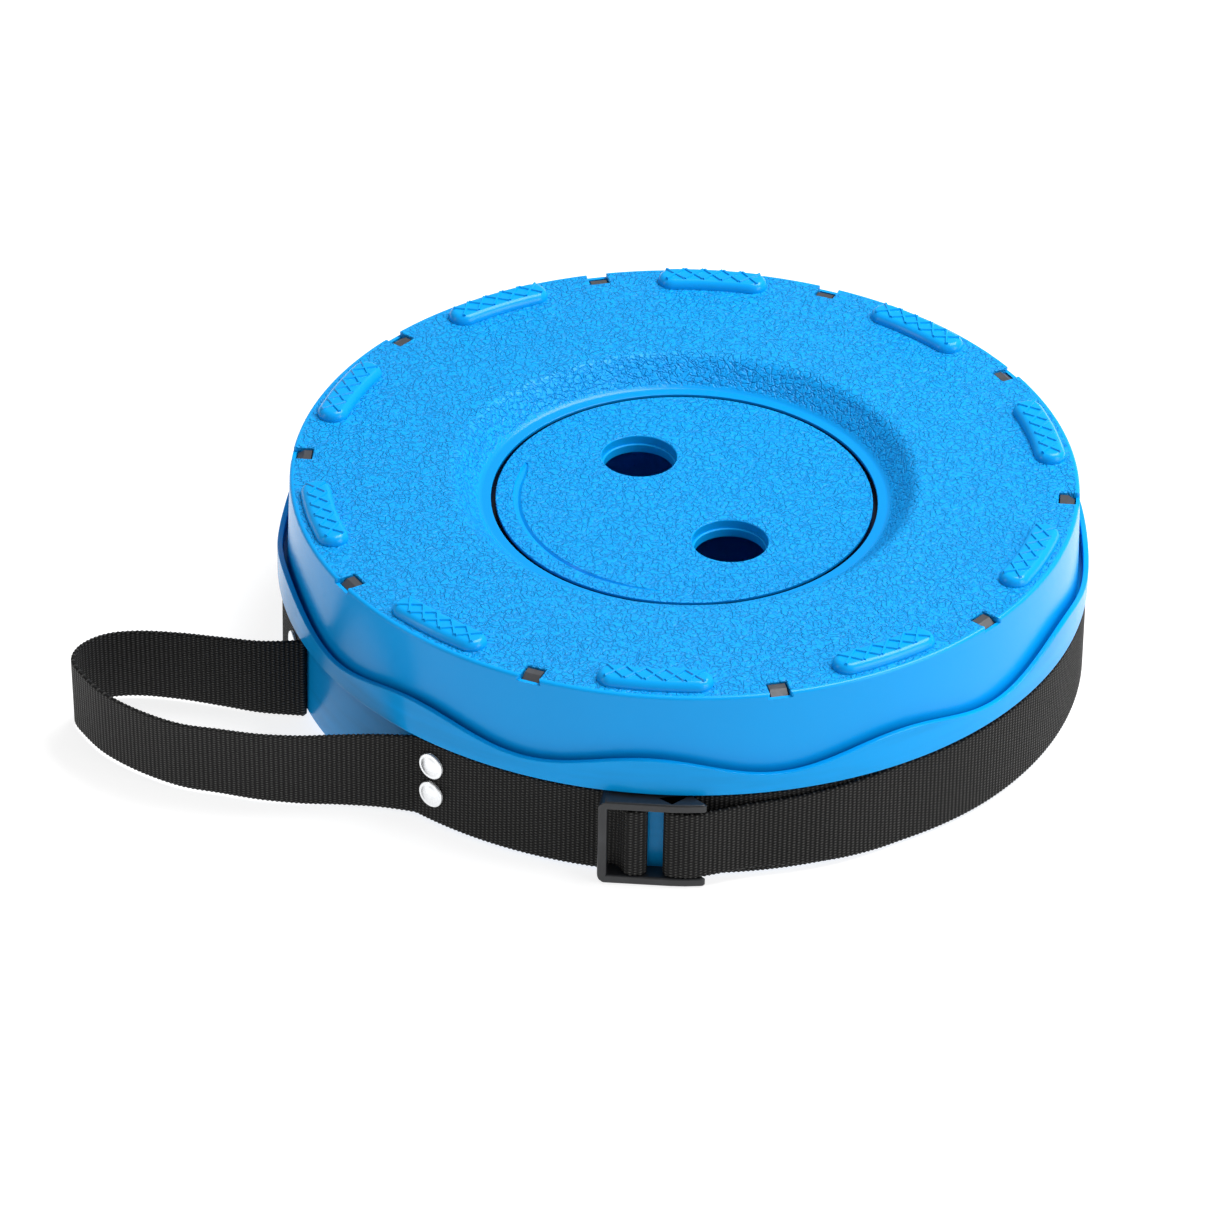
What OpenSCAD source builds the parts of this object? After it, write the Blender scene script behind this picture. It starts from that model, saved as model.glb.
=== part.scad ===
// Collapsible stool: nested rings that rise out of a base cup and carry a round
// seat, with a webbing carry strap round the cup. Modelled closed.
// Origin: on the floor, on the stool's own axis. +Z is up, millimetres.

/* [Seat] */
// Radius of the seat's rim
seat_r = 125; // [115:1:160]
// Height of the seat's top above the floor when the stool is closed
closed_h = 65; // [58:1:90]
// Thickness of the seat's top plate
seat_t = 2.7; // [2:0.1:4]
// Thickness of the seat's skirt
skirt_t = 2.4; // [1.6:0.1:3]
// How much wider the skirt is at its lower edge than at the rim
skirt_flare = 0.8; // [0:0.1:1.5]
// Radius of the rounded rim edge
rim_round = 0.9; // [0.3:0.1:1.5]
// Thickness of the stiffening ribs under the seat
rib_t = 1.8; // [1.2:0.1:3]

/* [Dish and lid] */
// Radius of the centre lid
lid_r = 59.8; // [45:0.1:66]
// Thickness of the lid disc
lid_t = 3; // [2:0.1:4]
// Depth of the dish, from the seat's top to the lid's top
dish_depth = 8.5; // [6:0.1:12]
// Gap between the lid and the dish floor round it
lid_slot = 1.5; // [0.8:0.1:2.5]
// Width of the flat floor round the lid
dish_floor = 3; // [1:0.1:6]
// Radius of the rounded shoulder at the dish's mouth
shoulder_r = 6; // [4:0.1:9]
// Thickness of the shelf that the lid sits on
shelf_t = 2.3; // [1.6:0.1:3.5]
// Width of the shelf under the lid's edge
shelf_w = 5.5; // [4:0.1:8]
// Thickness of the plate behind the lid
backing_t = 2.8; // [2:0.1:4]
// Height of the locking tabs under the shelf
tab_t = 2.2; // [1.5:0.1:3]
// Radius of a finger hole in the lid
finger_r = 12; // [9:0.1:14]
// Radius of a finger hole in the plate behind the lid
finger_back_r = 11.3; // [8:0.1:14]
// Distance of each finger hole from the stool's axis
finger_at = 28.2; // [20:0.1:36]
// Bearing of the first finger hole
finger_dir = 121.5; // [0:0.5:180]

/* [Windows and pads] */
// Bearing of the first snap window in the rim
window_dir = 32.3; // [0:0.1:36]
// Width of a snap window
window_w = 6.5; // [5:0.1:9]
// Length of a snap window, measured inwards from the rim
window_l = 6.7; // [5:0.1:9]
// Length of a raised grip pad along its middle
pad_l = 36; // [20:1:50]
// Width of a raised grip pad
pad_w = 11; // [6:0.5:14]
// Height of a raised grip pad
pad_h = 3; // [1:0.1:4]
// Gap between a pad's outer edge and the rim
pad_in = 3; // [2:0.5:14]

/* [Base cup] */
// Thickness of the cup's floor
base_t = 2.5; // [2:0.1:5]
// Thickness of the cup's lower wall
base_wall = 2.2; // [1.6:0.1:3]
// Thickness of the upper band that takes the skirt
band_t = 1.8; // [1:0.1:2.5]
// Height of the ledge under the band, above the floor
band_z = 31.5; // [26:0.5:36]
// Height of the band's crests above the floor
crest_z = 44; // [40:0.5:50]
// Depth of the dips in the band's wavy edge
wave_depth = 6; // [2:0.5:7]
// Half the width of one dip at the crests' height
wave_half = 25.5; // [15:0.5:30]
// How far the lower wall is set back under the band, for the strap
strap_recess = 3.2; // [2:0.1:4]

/* [Rings] */
// Outer radius of the fixed tube in the middle
tube_r = 66; // [58:0.5:74]
// Thickness of every ring's wall
ring_t = 2.2; // [1.6:0.1:2.6]
// Room between the seat's ring and the cup's wall
ring_room = 2.6; // [1.8:0.1:4]
// Height of the guide collars at each ring's ends
collar_h = 2.5; // [2:0.1:5]
// Height of a guide lug
lug_h = 3; // [2:0.1:5]
// Width of a guide lug, in degrees round the ring
lug_deg = 4; // [2:0.5:6]
// Turn that locks the seat, in degrees
twist = 8; // [4:1:10]

/* [Strap] */
// Width of the webbing
strap_w = 29.5; // [20:0.5:30]
// Thickness of the webbing
strap_t = 1.5; // [1:0.1:2]
// Height of the webbing's lower edge above the floor
strap_z = 0.9; // [0.5:0.1:3]
// Bearing where the belt ends and the handle starts, at the front
handle_front = 230.5; // [228:0.5:236]
// Bearing where the belt ends and folds into the handle, at the back
handle_back = 201; // [200:0.5:206]
// Bearing where the doubled end of the belt stops
tail_end = 297; // [285:1:310]
// Bearing of the buckle's middle
buckle_dir = 266.8; // [255:0.1:280]
// Length of the buckle, along the strap
buckle_l = 33.5; // [26:0.5:40]
// Depth of the buckle, out from the cup
buckle_d = 7; // [5:0.1:9]
// Thickness of the buckle's two long cheeks
cheek_t = 3; // [2:0.1:4]
// Width of a buckle bar
bar_w = 3; // [2:0.1:4]
// Thickness of a buckle bar
bar_t = 2.4; // [2:0.1:3.5]

/* [Rivets] */
// Radius of a rivet's head
rivet_r = 5; // [3:0.1:6]
// Height of a rivet's head
rivet_h = 1.6; // [1:0.1:2.5]
// Radius of a rivet's shank
shank_r = 1.5; // [1:0.1:2.5]
// Thickness of a rivet's clenched end inside the cup
clench_t = 1.1; // [0.6:0.1:1.4]
// Distance between the two rivets of a pair
rivet_step = 10.5; // [9:0.1:16]
// Height of a pair's middle above the webbing's middle
rivet_lift = 1.2; // [0:0.1:2]
// Bearing of the front pair
rivet_front = 233.4; // [232:0.1:240]
// Bearing of the back pair
rivet_back = 197; // [190:0.1:200]

/* [Feet] */
// Radius of a rubber foot pad
foot_r = 11; // [6:0.5:16]
// Height of a foot pad below the cup
foot_h = 1.5; // [1:0.1:4]
// Depth of the recess that holds a foot pad
foot_sink = 1; // [0.5:0.1:1.5]
// Distance from the rim of the cup's floor to a foot pad
foot_in = 8; // [5:0.5:20]

/* [Clearances] */
// Gap between pieces that slide or turn against each other
run_gap = 0.3; // [0.2:0.05:0.5]
// Gap between the skirt and the band round it
skirt_gap = 1.4; // [0.5:0.1:1.8]
// Gap between the webbing and what it lies on
web_gap = 0.2; // [0.1:0.05:0.4]
// Gap between the rings' tops and the shelf over them
head_gap = 0.9; // [0.5:0.1:2]

/* [Hidden] */
$fn = 96;
ring_count = 10;
window_count = 10;
lug_count = 5;
foot_count = 5;
tab_count = 3;
window_step = 360/window_count;
lug_step = 360/lug_count;

// Radii, from the seat's rim inwards
skirt_r = seat_r + skirt_flare;
band_in = skirt_r + skirt_gap;
band_r = band_in + band_t;
cup_r = band_r - strap_recess;
cup_in = cup_r - base_wall;
seat_ring_r = cup_in - ring_room;
pitch = (seat_ring_r - tube_r)/(ring_count + 1);
ring_gap = pitch - ring_t;
collar_w = ring_gap - run_gap;
lug_w = ring_gap + ring_t - run_gap;

// Heights, from the floor up
floor_z = foot_h + base_t;
ring_z = floor_z + run_gap;
lid_z = closed_h - dish_depth;
shelf_top = lid_z - lid_t - run_gap;
shelf_z = shelf_top - shelf_t;
ring_top = shelf_z - head_gap;
under_z = closed_h - seat_t;
lug_top = ring_top - collar_h - 2*run_gap;
// Each ring can rise over the one inside it until the lug nears the slot's lower end
slot_z = ring_z + collar_h + run_gap;
skirt_z = band_z + base_wall;

// Dish and lid
well_r = lid_r + lid_slot;
dish_r = well_r + dish_floor;
fillet_r = dish_depth - shoulder_r;
shelf_in = well_r - shelf_w;
well_wall = 2.2;
// A narrow tube ends lower, to stay clear of the lid's tabs and stops
tube_top = tube_r - ring_t > well_r ? ring_top : ring_top - tab_t - run_gap;
tab_deg = 24;
unlock = 30;
stop_deg = 3;
stop_room = 1;
groove_r = 54;
groove_w = 2.4;
groove_dir = 160;
groove_span = 100;
groove_depth = 0.5;

// Snap windows and their hooks
window_in = seat_r - window_l;
lip_t = 1.2;
lip_drop = 1.8;
hook_w = window_w - 4*run_gap;
hook_drop = 0.7;
barb_z = under_z - 1.8;
hook_r = seat_r - lip_t - 1.5*run_gap;
hook_root = 6;
hook_bevel = 2.1;

// Pads
pad_r = seat_r - pad_in - pad_w/2;
pad_deg = (pad_l - pad_w)/pad_r*180/PI;

// Guide slots
slot_half = lug_deg/2 + 0.5;

// Strap and buckle
belt_in = cup_r + web_gap;
belt_out = belt_in + strap_t;
buckle_in = cup_r + 2.5*web_gap;
buckle_z = strap_z + strap_w/2;
buckle_h = strap_w + 1;
buckle_out = buckle_in + buckle_d;
neck_w = buckle_h - 2*cheek_t - 2*web_gap;
mid_bar_y = -4.7;
right_bar_y = 6.5;
gather_past = 0.7;
tail_clear = 2;
// Points along the handle's loop, from the fold at the back to the front rivets,
// as steps outwards from the cup's wall there
handle_way = [
    [-12, -0.5], [-25, 2], [-38, 4.5], [-51, 5.5], [-61, 3.5], [-68, -2.5], [-70, -10.5], [-66, -19],
    [-59, -28.5], [-48, -37.5], [-35, -44.5], [-22, -47.5], [-10, -50], [3, -51], [15, -50.5], [27.5, -50.5]
];
handle_steps = 5;
// Angle left between the belt's front end and the handle's
handle_join = 0.36;
rivet_gap = 0.05;
rivet_root = 0.4;
spigot_t = 2.4;
spigot_h = 8;
tab_ring_in = 1;
tab_ring_w = 5;
tab_root = 3;
stop_root = 3.5;

RINGS = [for (i = [1:ring_count]) str("telescopic_ring_", i < 10 ? "0" : "", i)];

// A band of rectangular section: radii r1 to r2, heights z1 to z2,
// from bearing a1 through the angle da
module band(r1, r2, z1, z2, a1 = 0, da = 360) {
    rotate([0, 0, a1])
        rotate_extrude(angle = da)
            translate([r1, z1]) square([r2 - r1, z2 - z1]);
}

module copies(count, first = 0) {
    for (k = [0:count - 1]) rotate([0, 0, first + k*360/count]) children();
}

// Points of an arc about [cx, cy], for outlines
function arc(cx, cy, r, a1, a2, steps = 6) =
    [for (s = [0:steps]) let (a = a1 + (a2 - a1)*s/steps) [cx + r*cos(a), cy + r*sin(a)]];

// Bearing of the point of the buckle that lies y along the strap from its middle
function buckle_at(y) = buckle_dir + asin(y/buckle_in);

function ring_r(i) = tube_r + i*pitch;
function lug_dir(i) = window_dir + (i%2)*lug_step/2;

// ---- Base ----

module base_outline() {
    corner = 3;
    polygon(concat(
        [[0, foot_h]],
        arc(cup_r - corner, foot_h + corner, corner, -90, 0),
        [[cup_r, band_z], [band_r, band_z], [band_r, crest_z], [band_in, crest_z],
         [band_in, skirt_z - run_gap], [cup_in, skirt_z - 2*run_gap],
         [cup_in, floor_z], [0, floor_z]]));
}

module base_cup() {
    wave_r = (wave_half*wave_half + wave_depth*wave_depth)/(2*wave_depth);
    collar_r = tube_r - ring_t - run_gap;
    color("dodgerblue")
    difference() {
        rotate_extrude($fn = 180) base_outline();
        copies(window_count, window_dir)
            translate([band_in - 4, 0, crest_z - wave_depth + wave_r])
                rotate([0, 90, 0]) cylinder(h = 10, r = wave_r);
        feet_at() translate([0, 0, -foot_sink])
            cylinder(h = 2*foot_sink, r = foot_r - 1 + run_gap);
        rivets_at(rivet_front) rivet_hole();
        rivets_at(rivet_back) rivet_hole();
    }
    color("dodgerblue") band(collar_r - spigot_t, collar_r, floor_z - base_t/2, floor_z + spigot_h);
}

// One foot in the middle and the rest round the rim of the cup's floor
module feet_at() {
    translate([0, 0, foot_h]) children();
    copies(foot_count, window_dir)
        translate([cup_r - foot_in - foot_r, 0, foot_h]) children();
}

module foot_pads() {
    color("dimgray")
    feet_at() {
        translate([0, 0, -foot_h]) cylinder(h = foot_h, r = foot_r);
        translate([0, 0, -foot_h/2]) cylinder(h = foot_sink + foot_h/2, r = foot_r - 1);
    }
}

// ---- Rings ----

module lugs(i, r) {
    copies(lug_count, lug_dir(i) - lug_deg/2)
        band(r - ring_t/2, r + lug_w, lug_top - lug_h, lug_top, 0, lug_deg);
}

// Slots for the lugs of the ring inside: an upright channel
// with a locking pocket at each end
module slots(i, r) {
    high = lug_top + run_gap;
    pocket = lug_h + 2*run_gap;
    right = r*sin(slot_half);
    far = -r*sin(slot_half + twist);
    start = (r - ring_t)*cos(slot_half + twist) - collar_w/2;
    copies(lug_count, lug_dir(i - 1))
        translate([start, 0, 0]) rotate([90, 0, 90]) linear_extrude(r + 1 - start)
            polygon([
                [right, slot_z], [right, high], [far, high], [far, high - pocket],
                [-right, high - pocket], [-right, slot_z + pocket], [far, slot_z + pocket], [far, slot_z]
            ]);
}

// A ring turned in one piece: its wall, the guide collar inside its foot and,
// where it has one, the collar outside its head
module ring_wall(r, top, foot = true, head = true) {
    in = r - ring_t;
    z = foot ? ring_z : floor_z;
    rotate_extrude() polygon(concat(
        foot ? [[in, z + collar_h], [in - collar_w, z + collar_h], [in - collar_w, z]] : [[in, z]],
        [[r, z]],
        head ? [[r, top - collar_h], [r + collar_w, top - collar_h], [r + collar_w, top]] : [[r, top]],
        [[in, top]]));
}

module base_tube() {
    color("dodgerblue") {
        ring_wall(tube_r, tube_top, foot = false);
        lugs(0, tube_r);
    }
}

module telescopic_ring(i) {
    r = ring_r(i);
    color([0.13, 0.13, 0.14]) {
        difference() {
            ring_wall(r, ring_top);
            slots(i, r);
        }
        lugs(i, r);
    }
}

module hook() {
    rotate([90, 0, 0])
        translate([0, 0, -hook_w/2])
            linear_extrude(hook_w)
                polygon([
                    [seat_ring_r - ring_t, barb_z - hook_root], [seat_ring_r, barb_z - hook_root],
                    [seat_ring_r + 1, barb_z], [hook_r, barb_z], [hook_r, closed_h - lip_drop - run_gap],
                    [hook_r - hook_bevel, closed_h - hook_drop], [seat_ring_r - ring_t, closed_h - hook_drop]
                ]);
}

module seat_ring() {
    color([0.13, 0.13, 0.14]) {
        difference() {
            ring_wall(seat_ring_r, under_z, head = false);
            slots(ring_count + 1, seat_ring_r);
        }
        copies(window_count, window_dir) hook();
    }
}

// ---- Seat ----

module seat_outline() {
    skirt_in = skirt_r - skirt_t;
    wall_r = well_r + well_wall;
    bend_r = dish_r + fillet_r;
    bend_z = lid_z + fillet_r;
    polygon(concat(
        [[shelf_in, shelf_z], [shelf_in, shelf_top], [well_r, shelf_top], [well_r, lid_z]],
        arc(dish_r, bend_z, fillet_r, -90, 0),
        arc(bend_r + shoulder_r, bend_z, shoulder_r, 180, 90, 8),
        arc(seat_r - rim_round, closed_h - rim_round, rim_round, 90, 0),
        [[skirt_r, skirt_z], [skirt_in, skirt_z], [skirt_in - skirt_flare, under_z]],
        arc(bend_r + shoulder_r, bend_z, shoulder_r - seat_t, 90, 180),
        arc(dish_r, bend_z, fillet_r + seat_t, 0, -90),
        [[wall_r, lid_z - seat_t], [wall_r, shelf_z]]));
}

module pad() {
    root = seat_t/2;
    translate([0, 0, closed_h - root]) {
        rotate([0, 0, -pad_deg/2]) rotate_extrude(angle = pad_deg)
            translate([pad_r - pad_w/2, 0]) square([pad_w, pad_h + root]);
        for (side = [-1, 1]) rotate([0, 0, side*pad_deg/2]) translate([pad_r, 0, 0])
            cylinder(h = pad_h + root, d = pad_w);
    }
}

module window() {
    translate([window_in, -window_w/2, barb_z - run_gap])
        cube([window_l - lip_t, window_w, closed_h]);
    translate([seat_r - 2*lip_t, -window_w/2, closed_h - lip_drop])
        cube([3*lip_t + skirt_flare, window_w, closed_h]);
}

module seat_rib() {
    start = dish_r + fillet_r + shoulder_r;
    translate([start, -rib_t/2, ring_top + head_gap])
        cube([seat_ring_r - ring_t - run_gap - start, rib_t, under_z - ring_top - head_gap + seat_t/2]);
}

// Notches that let the lid's tabs out, and the stops at each end of its turn
module tab_notches() {
    copies(tab_count, unlock - tab_deg/2 - stop_room)
        band(shelf_in - 1, well_r - run_gap, shelf_z - 1, shelf_top + 1, 0, tab_deg + 2*stop_room);
}

module lid_stops() {
    reach = tab_deg/2 + 1.5*stop_room;
    for (a = [-reach - stop_deg, unlock + reach])
        copies(tab_count, a)
            band(well_r - stop_root, well_r, shelf_z - tab_t, shelf_z + shelf_t/2, 0, stop_deg);
}

module seat_cap() {
    color("dodgerblue")
    difference() {
        union() {
            rotate_extrude($fn = 180) seat_outline();
            copies(window_count, window_dir + window_step/2) {
                pad();
                seat_rib();
            }
            lid_stops();
        }
        copies(window_count, window_dir) window();
        tab_notches();
    }
}

// ---- Lid ----

module finger_holes(r) {
    for (side = [0, 180]) rotate([0, 0, finger_dir + side]) translate([finger_at, 0, shelf_z - 5])
        cylinder(h = closed_h, r = r);
}

// A shallow groove that starts wide and runs out to a point
module lid_groove() {
    shift = groove_w/(1 - cos(groove_span));
    thin = groove_w - shift;
    intersection() {
        difference() {
            cylinder(h = closed_h, r = groove_r);
            translate([-shift*cos(groove_dir), -shift*sin(groove_dir), -1])
                cylinder(h = closed_h + 2, r = groove_r - thin);
        }
        band(lid_r/2, lid_r, lid_z - groove_depth, closed_h, groove_dir, groove_span);
    }
}

module centre_lid() {
    color("dodgerblue")
    difference() {
        translate([0, 0, lid_z - lid_t]) cylinder(h = lid_t, r = lid_r, $fn = 180);
        finger_holes(finger_r);
        lid_groove();
    }
}

module lid_backing_plate() {
    top = lid_z - lid_t;
    plate_r = shelf_in - run_gap;
    tab_top = shelf_z - run_gap;
    tab_r = well_r - 2*run_gap;
    color("royalblue") {
        difference() {
            translate([0, 0, top - backing_t]) cylinder(h = backing_t, r = plate_r);
            finger_holes(finger_back_r);
        }
        band(plate_r - tab_ring_in - tab_ring_w, plate_r - tab_ring_in, tab_top - tab_t, top - backing_t + 1);
        copies(tab_count, -tab_deg/2)
            band(plate_r - tab_root, tab_r, tab_top - tab_t, tab_top, 0, tab_deg);
    }
}

// ---- Strap ----

module belt_band(a1, a2, w = strap_w, r = belt_in) {
    band(r, r + strap_t, buckle_z - w/2, buckle_z + w/2, a1, a2 - a1);
}

// Trims both edges of the webbing where it gathers to pass through the buckle
module gather(a1, a2) {
    trim = (strap_w - neck_w)/2;
    for (z = [buckle_z - strap_w/2 - 1, buckle_z + neck_w/2])
        band(belt_in - 1, belt_out + 1, z, z + trim + 1, a1, a2 - a1);
}

module strap_belt() {
    start = buckle_at(right_bar_y - bar_w/2);
    edge = buckle_at(buckle_l/2 + gather_past);
    color([0.1, 0.1, 0.1])
    difference() {
        union() {
            belt_band(start, handle_back + 360);
            belt_band(edge + tail_clear, tail_end, neck_w, belt_out - strap_t/2);
        }
        gather(start - 1, edge);
        rivets_at(rivet_back) rivet_hole();
    }
}

module strap_front() {
    stop = buckle_at(mid_bar_y + bar_w/2 + web_gap);
    edge = buckle_at(-buckle_l/2 - gather_past);
    color([0.1, 0.1, 0.1])
    difference() {
        belt_band(handle_front, stop);
        gather(edge, stop + 1);
        rivets_at(rivet_front) rivet_hole();
    }
}

// A smooth curve through a list of points: the point at share t between p[i] and p[i + 1]
function smooth(p, i, t) =
    let (a = p[max(i - 1, 0)], b = p[i], c = p[i + 1], d = p[min(i + 2, len(p) - 1)])
    0.5*(2*b + (c - a)*t + (2*a - 5*b + 4*c - d)*t*t + (3*b - a - 3*c + d)*t*t*t);

function side_step(p, i, off) =
    let (d = p[min(i + 1, len(p) - 1)] - p[max(i - 1, 0)])
    p[i] + off*[d[1], -d[0]]/norm(d);

module strap_handle() {
    fold_r = belt_out + strap_t/2 + web_gap;
    fold = fold_r*[cos(handle_back), sin(handle_back)];
    front_r = belt_in + strap_t/2;
    front = front_r*[cos(handle_front - handle_join), sin(handle_front - handle_join)];
    knots = concat([fold], [for (w = handle_way) fold + w], [front]);
    way = concat(
        [for (i = [0:len(knots) - 2], s = [0:handle_steps - 1]) smooth(knots, i, s/handle_steps)],
        [front]);
    last = len(way) - 1;
    color([0.1, 0.1, 0.1])
    translate([0, 0, strap_z - web_gap])
        linear_extrude(strap_w)
            polygon(concat(
                [for (i = [0:last]) side_step(way, i, strap_t/2)],
                [for (i = [last:-1:0]) side_step(way, i, -strap_t/2)]));
}

module strap_buckle() {
    half = buckle_l/2;
    color([0.16, 0.16, 0.17])
    rotate([0, 0, buckle_dir]) translate([0, 0, buckle_z - buckle_h/2]) {
        for (z = [0, buckle_h - cheek_t])
            translate([buckle_in, -half, z]) cube([buckle_d, buckle_l, cheek_t]);
        translate([buckle_out - bar_t, -half, 0]) cube([bar_t, bar_w, buckle_h]);
        for (y = [mid_bar_y, right_bar_y])
            translate([belt_out + strap_t + web_gap, y - bar_w/2, 0]) cube([bar_t, bar_w, buckle_h]);
    }
}

// ---- Rivets ----

// Puts each rivet's axis along +X, at the cup's axis
module rivets_at(dir) {
    for (side = [-1, 1])
        rotate([0, 0, dir]) translate([0, 0, buckle_z + rivet_lift + side*rivet_step/2]) children();
}

module rivet_hole() {
    translate([cup_in - 2, 0, 0]) rotate([0, 90, 0]) cylinder(h = 10, r = shank_r + 0.1, $fn = 32);
}

// A domed head outside the strap, a shank through strap and wall, a clenched end inside
module rivet() {
    head_x = belt_out + rivet_gap;
    dome_r = (rivet_r*rivet_r + rivet_h*rivet_h)/(2*rivet_h);
    rotate([0, 90, 0]) {
        intersection() {
            translate([0, 0, head_x]) cylinder(h = rivet_h, r = rivet_r, $fn = 48);
            translate([0, 0, head_x + rivet_h - dome_r]) sphere(r = dome_r, $fn = 96);
        }
        translate([0, 0, cup_in - clench_t]) cylinder(h = head_x - cup_in + clench_t + rivet_root, r = shank_r, $fn = 32);
        translate([0, 0, cup_in - clench_t - rivet_gap]) cylinder(h = clench_t, r = 2*shank_r, $fn = 32);
    }
}

module rivets_front() {
    color("silver") rivets_at(rivet_front) rivet();
}

module rivets_back() {
    color("silver") rivets_at(rivet_back) rivet();
}

base_cup();
foot_pads();
base_tube();
for (i = [1:ring_count]) telescopic_ring(i);
seat_ring();
seat_cap();
centre_lid();
lid_backing_plate();
strap_belt();
strap_front();
strap_handle();
strap_buckle();
rivets_front();
rivets_back();
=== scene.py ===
"""A collapsible telescopic stool, closed: moulded blue seat and cup, nested black
rings and a webbing carry strap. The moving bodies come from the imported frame.
Lengths are in millimetres until a mesh is made, which is in metres."""
from math import cos, degrees, pi, radians, sin, sqrt

import bmesh
import bpy
import numpy as np
from mathutils import Matrix, Vector


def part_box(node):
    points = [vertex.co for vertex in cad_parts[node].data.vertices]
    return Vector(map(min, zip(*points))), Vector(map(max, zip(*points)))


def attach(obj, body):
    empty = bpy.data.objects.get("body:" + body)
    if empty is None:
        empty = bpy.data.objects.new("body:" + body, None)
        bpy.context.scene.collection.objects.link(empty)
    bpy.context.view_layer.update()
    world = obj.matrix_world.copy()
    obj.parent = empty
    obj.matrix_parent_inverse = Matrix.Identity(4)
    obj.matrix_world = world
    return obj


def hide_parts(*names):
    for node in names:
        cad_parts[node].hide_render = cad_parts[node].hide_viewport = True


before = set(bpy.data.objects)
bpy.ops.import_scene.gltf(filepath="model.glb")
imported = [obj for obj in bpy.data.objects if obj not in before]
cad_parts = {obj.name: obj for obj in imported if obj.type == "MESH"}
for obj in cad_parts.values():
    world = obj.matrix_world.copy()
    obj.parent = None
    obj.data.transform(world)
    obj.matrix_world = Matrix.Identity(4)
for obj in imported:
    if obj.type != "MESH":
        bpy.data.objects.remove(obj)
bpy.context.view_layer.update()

MM = 0.001


def node_box(node):
    low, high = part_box(node)
    return [c / MM for c in low], [c / MM for c in high]


# ---- Sizes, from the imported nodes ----

CUP_LOW, CUP_HIGH = node_box("base_cup")
SEAT_LOW, SEAT_HIGH = node_box("seat_cap")
LID_LOW, LID_HIGH = node_box("centre_lid")
BACK_LOW, BACK_HIGH = node_box("lid_backing_plate")
TUBE_HIGH = node_box("base_tube")[1]

# Seat
PAD_H = 3.0
SKIRT_FLARE = 0.8
SKIRT_T = 2.4
SEAT_T = 2.7
RIM_ROUND = 1.1
TOP_Z = SEAT_HIGH[2] - PAD_H
SKIRT_R = SEAT_HIGH[0]
SEAT_R = SKIRT_R - SKIRT_FLARE
SKIRT_Z = SEAT_LOW[2]
UNDER_Z = TOP_Z - SEAT_T
RIB_T = 1.8

# Lid and dish
LID_R = LID_HIGH[0]
LID_Z = LID_HIGH[2]
LID_UNDER = LID_LOW[2]
WELL_R = LID_R + 1.5
WELL_WALL = 2.2
DISH_R = WELL_R + 3.0
SHELF_TOP = LID_UNDER - 0.3
SHELF_Z = SHELF_TOP - 2.3
SHELF_IN = WELL_R - 5.5
DISH_DEPTH = TOP_Z - LID_Z
SLOPE_R = DISH_R + 0.5
FLAT_R = SLOPE_R + DISH_DEPTH + 2.2
FINGER_R = 12.0
FINGER_BACK_R = 11.3
FINGER_AT = 28.2
FINGER_DIR = 121.5
TABS = 3
TAB_DEG = 24
UNLOCK = 30
GROOVE_R = 54.0
GROOVE_W = 2.4
GROOVE_DIR = 160
GROOVE_SPAN = 103

# Windows and pads round the rim
COUNT = 10
WINDOW_DIR = 32.3
WINDOW_W = 6.5
WINDOW_L = 6.7
LIP_T = 1.2
LIP_DROP = 1.8
PAD_L = 36.0
PAD_W = 10.0
PAD_R = SEAT_R - 3.0 - PAD_W / 2
PAD_EDGE = 2.4
CROSSES = 5
CROSS_PITCH = 6.1
CROSS_HALF = 2.9

# Cup
BAND_R = CUP_HIGH[0]
BAND_T = 1.8
CUP_R = BAND_R - 3.2
CUP_IN = CUP_R - 2.2
CUP_Z = CUP_LOW[2]
FLOOR_Z = CUP_Z + 2.5
BAND_Z = 31.5
CREST_Z = CUP_HIGH[2]
WAVE = 6.0
SPIGOT_R = TUBE_HIGH[0] - 6.3

# Strap
STRAP_W = 29.5
STRAP_T = 1.5
STRAP_MID = 0.9 + STRAP_W / 2
WEB_GAP = 0.2
WEB_R = CUP_R + WEB_GAP + STRAP_T / 2
WEB_STEP = 0.375
RIB_PITCH = 1.5
YARN_PITCH = 1.0
RIB_RISE = 0.06
HANDLE_FRONT = 230.5
HANDLE_BACK = 201.0
HANDLE_WAY = [
    (-12, -0.5), (-25, 2), (-38, 4.5), (-51, 5.5), (-61, 3.5), (-68, -2.5), (-70, -10.5), (-66, -19),
    (-59, -28.5), (-48, -37.5), (-35, -44.5), (-22, -47.5), (-10, -50), (3, -51), (15, -50.5), (27.5, -50.5),
]
HANDLE_LEAN = 4.3
BELT_SLACK = 1.1

# Buckle
BUCKLE_DIR = 266.8
BUCKLE_L = 33.5
BUCKLE_H = STRAP_W + 1
BUCKLE_IN = CUP_R + 2.5 * WEB_GAP
BUCKLE_OUT = BUCKLE_IN + 7.0
CHEEK_T = 3.0
BAR_W = 3.0
BAR_T = 2.4
BAR_X = CUP_R + 2 * WEB_GAP + 2 * STRAP_T
MID_BAR_Y = -4.7
RIGHT_BAR_Y = 6.5
NECK_W = BUCKLE_H - 2 * CHEEK_T - 2 * WEB_GAP

# Rivets
RIVET_R = 4.5
RIVET_H = 1.6
SHANK_R = 1.5
CLENCH_T = 1.1
RIVET_Z = STRAP_MID + 1.2
RIVET_STEP = 10.5
RIVET_FRONT = 233.4
RIVET_BACK = 197.0


# ---- Mesh helpers ----

def polar(radius, bearing):
    return (radius * cos(radians(bearing)), radius * sin(radians(bearing)))


def arc(cx, cy, radius, start, end, steps=6):
    """Points of an arc, from bearing start to bearing end."""
    turns = [radians(start + (end - start) * k / steps) for k in range(steps + 1)]
    return [(cx + radius * cos(t), cy + radius * sin(t)) for t in turns]


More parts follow.
